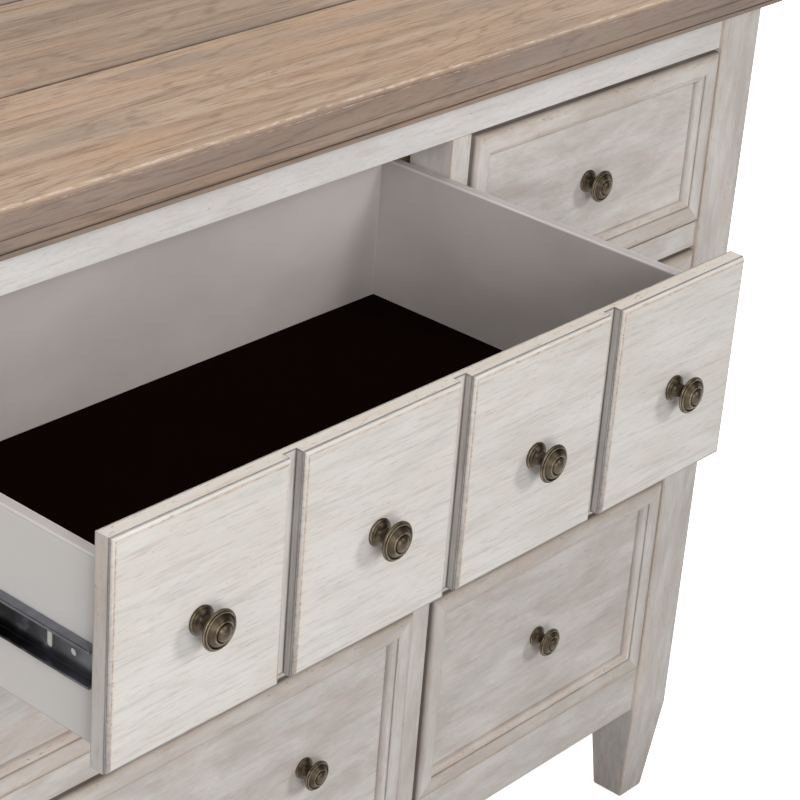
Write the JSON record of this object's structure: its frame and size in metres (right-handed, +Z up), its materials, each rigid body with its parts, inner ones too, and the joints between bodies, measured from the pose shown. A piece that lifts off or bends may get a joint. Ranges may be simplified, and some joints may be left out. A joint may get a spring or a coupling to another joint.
{
  "type": "chest of drawers",
  "caption": "Floor-standing dresser with inset drawers on telescopic slides, a planked oak top over a painted case and tapered feet; one drawer is shown pulled out.",
  "frame": {"origin": "on the floor, in the middle of the part's own box with the top centre drawer pulled out", "axes": "+X along the front to the right as one faces it, +Y from the front to the back, +Z up"},
  "size_m": [1.705, 0.795, 1.013],
  "materials": {
    "painted_wood": "brushed antique white paint, rubbed through at the edges",
    "oak_top": "weathered tobacco oak, matt",
    "drawer_interior": "smooth grey-beige lacquer",
    "case_interior": "plain unfinished board",
    "felt": "dark brown felt",
    "knob_brass": "dark antique brass with rubbed highlights",
    "slide_steel": "glossy black zinc plate"
  },
  "bodies": {
    "case": {"top_planks": "oak_top", "top_moulding": "oak_top", "front_left_post": "painted_wood", "front_right_post": "painted_wood", "back_left_post": "painted_wood", "back_right_post": "painted_wood", "front_rails": "painted_wood", "divider_stiles": "painted_wood", "partitions": "case_interior", "side_frames": "painted_wood", "bottom_panel": "case_interior", "back_panel": "case_interior", "slide_cleats": "case_interior", "slide_channels": "slide_steel"},
    "top_left_drawer": {"top_left_front": "painted_wood", "top_left_knobs": "knob_brass", "top_left_box": "drawer_interior", "top_left_runners": "slide_steel"},
    "top_left_carrier": {"top_left_carriers": "slide_steel"},
    "top_centre_drawer": {"top_centre_front": "painted_wood", "top_centre_knobs": "knob_brass", "top_centre_box": "drawer_interior", "top_centre_runners": "slide_steel", "felt_liner": "felt"},
    "top_centre_carrier": {"top_centre_carriers": "slide_steel"},
    "top_right_drawer": {"top_right_front": "painted_wood", "top_right_knobs": "knob_brass", "top_right_box": "drawer_interior", "top_right_runners": "slide_steel"},
    "top_right_carrier": {"top_right_carriers": "slide_steel"},
    "middle_left_drawer": {"middle_left_front": "painted_wood", "middle_left_knobs": "knob_brass", "middle_left_box": "drawer_interior", "middle_left_runners": "slide_steel"},
    "middle_left_carrier": {"middle_left_carriers": "slide_steel"},
    "middle_centre_drawer": {"middle_centre_front": "painted_wood", "middle_centre_knobs": "knob_brass", "middle_centre_box": "drawer_interior", "middle_centre_runners": "slide_steel"},
    "middle_centre_carrier": {"middle_centre_carriers": "slide_steel"},
    "middle_right_drawer": {"middle_right_front": "painted_wood", "middle_right_knobs": "knob_brass", "middle_right_box": "drawer_interior", "middle_right_runners": "slide_steel"},
    "middle_right_carrier": {"middle_right_carriers": "slide_steel"},
    "bottom_left_drawer": {"bottom_left_front": "painted_wood", "bottom_left_knobs": "knob_brass", "bottom_left_box": "drawer_interior", "bottom_left_runners": "slide_steel"},
    "bottom_left_carrier": {"bottom_left_carriers": "slide_steel"},
    "bottom_centre_drawer": {"bottom_centre_front": "painted_wood", "bottom_centre_knobs": "knob_brass", "bottom_centre_box": "drawer_interior", "bottom_centre_runners": "slide_steel"},
    "bottom_centre_carrier": {"bottom_centre_carriers": "slide_steel"},
    "bottom_right_drawer": {"bottom_right_front": "painted_wood", "bottom_right_knobs": "knob_brass", "bottom_right_box": "drawer_interior", "bottom_right_runners": "slide_steel"},
    "bottom_right_carrier": {"bottom_right_carriers": "slide_steel"}
  },
  "joints": [
    {"name": "top_left_slide", "type": "slide", "parent": "case", "child": "top_left_drawer", "axis": [0, -1, 0], "range_m": [0, 0.35]},
    {"name": "top_left_carrier_slide", "type": "slide", "parent": "case", "child": "top_left_carrier", "axis": [0, -1, 0], "range_m": [0, 0.175]},
    {"name": "top_centre_slide", "type": "slide", "parent": "case", "child": "top_centre_drawer", "axis": [0, -1, 0], "range_m": [-0.319, 0.031]},
    {"name": "top_centre_carrier_slide", "type": "slide", "parent": "case", "child": "top_centre_carrier", "axis": [0, -1, 0], "range_m": [-0.1595, 0.0155]},
    {"name": "top_right_slide", "type": "slide", "parent": "case", "child": "top_right_drawer", "axis": [0, -1, 0], "range_m": [0, 0.35]},
    {"name": "top_right_carrier_slide", "type": "slide", "parent": "case", "child": "top_right_carrier", "axis": [0, -1, 0], "range_m": [0, 0.175]},
    {"name": "middle_left_slide", "type": "slide", "parent": "case", "child": "middle_left_drawer", "axis": [0, -1, 0], "range_m": [0, 0.35]},
    {"name": "middle_left_carrier_slide", "type": "slide", "parent": "case", "child": "middle_left_carrier", "axis": [0, -1, 0], "range_m": [0, 0.175]},
    {"name": "middle_centre_slide", "type": "slide", "parent": "case", "child": "middle_centre_drawer", "axis": [0, -1, 0], "range_m": [0, 0.35]},
    {"name": "middle_centre_carrier_slide", "type": "slide", "parent": "case", "child": "middle_centre_carrier", "axis": [0, -1, 0], "range_m": [0, 0.175]},
    {"name": "middle_right_slide", "type": "slide", "parent": "case", "child": "middle_right_drawer", "axis": [0, -1, 0], "range_m": [0, 0.35]},
    {"name": "middle_right_carrier_slide", "type": "slide", "parent": "case", "child": "middle_right_carrier", "axis": [0, -1, 0], "range_m": [0, 0.175]},
    {"name": "bottom_left_slide", "type": "slide", "parent": "case", "child": "bottom_left_drawer", "axis": [0, -1, 0], "range_m": [0, 0.35]},
    {"name": "bottom_left_carrier_slide", "type": "slide", "parent": "case", "child": "bottom_left_carrier", "axis": [0, -1, 0], "range_m": [0, 0.175]},
    {"name": "bottom_centre_slide", "type": "slide", "parent": "case", "child": "bottom_centre_drawer", "axis": [0, -1, 0], "range_m": [0, 0.35]},
    {"name": "bottom_centre_carrier_slide", "type": "slide", "parent": "case", "child": "bottom_centre_carrier", "axis": [0, -1, 0], "range_m": [0, 0.175]},
    {"name": "bottom_right_slide", "type": "slide", "parent": "case", "child": "bottom_right_drawer", "axis": [0, -1, 0], "range_m": [0, 0.35]},
    {"name": "bottom_right_carrier_slide", "type": "slide", "parent": "case", "child": "bottom_right_carrier", "axis": [0, -1, 0], "range_m": [0, 0.175]}
  ],
  "couplings": [
    {"joint": "top_left_carrier_slide", "follows": "top_left_slide", "ratio": 0.5},
    {"joint": "top_centre_carrier_slide", "follows": "top_centre_slide", "ratio": 0.5},
    {"joint": "top_right_carrier_slide", "follows": "top_right_slide", "ratio": 0.5},
    {"joint": "middle_left_carrier_slide", "follows": "middle_left_slide", "ratio": 0.5},
    {"joint": "middle_centre_carrier_slide", "follows": "middle_centre_slide", "ratio": 0.5},
    {"joint": "middle_right_carrier_slide", "follows": "middle_right_slide", "ratio": 0.5},
    {"joint": "bottom_left_carrier_slide", "follows": "bottom_left_slide", "ratio": 0.5},
    {"joint": "bottom_centre_carrier_slide", "follows": "bottom_centre_slide", "ratio": 0.5},
    {"joint": "bottom_right_carrier_slide", "follows": "bottom_right_slide", "ratio": 0.5}
  ]
}
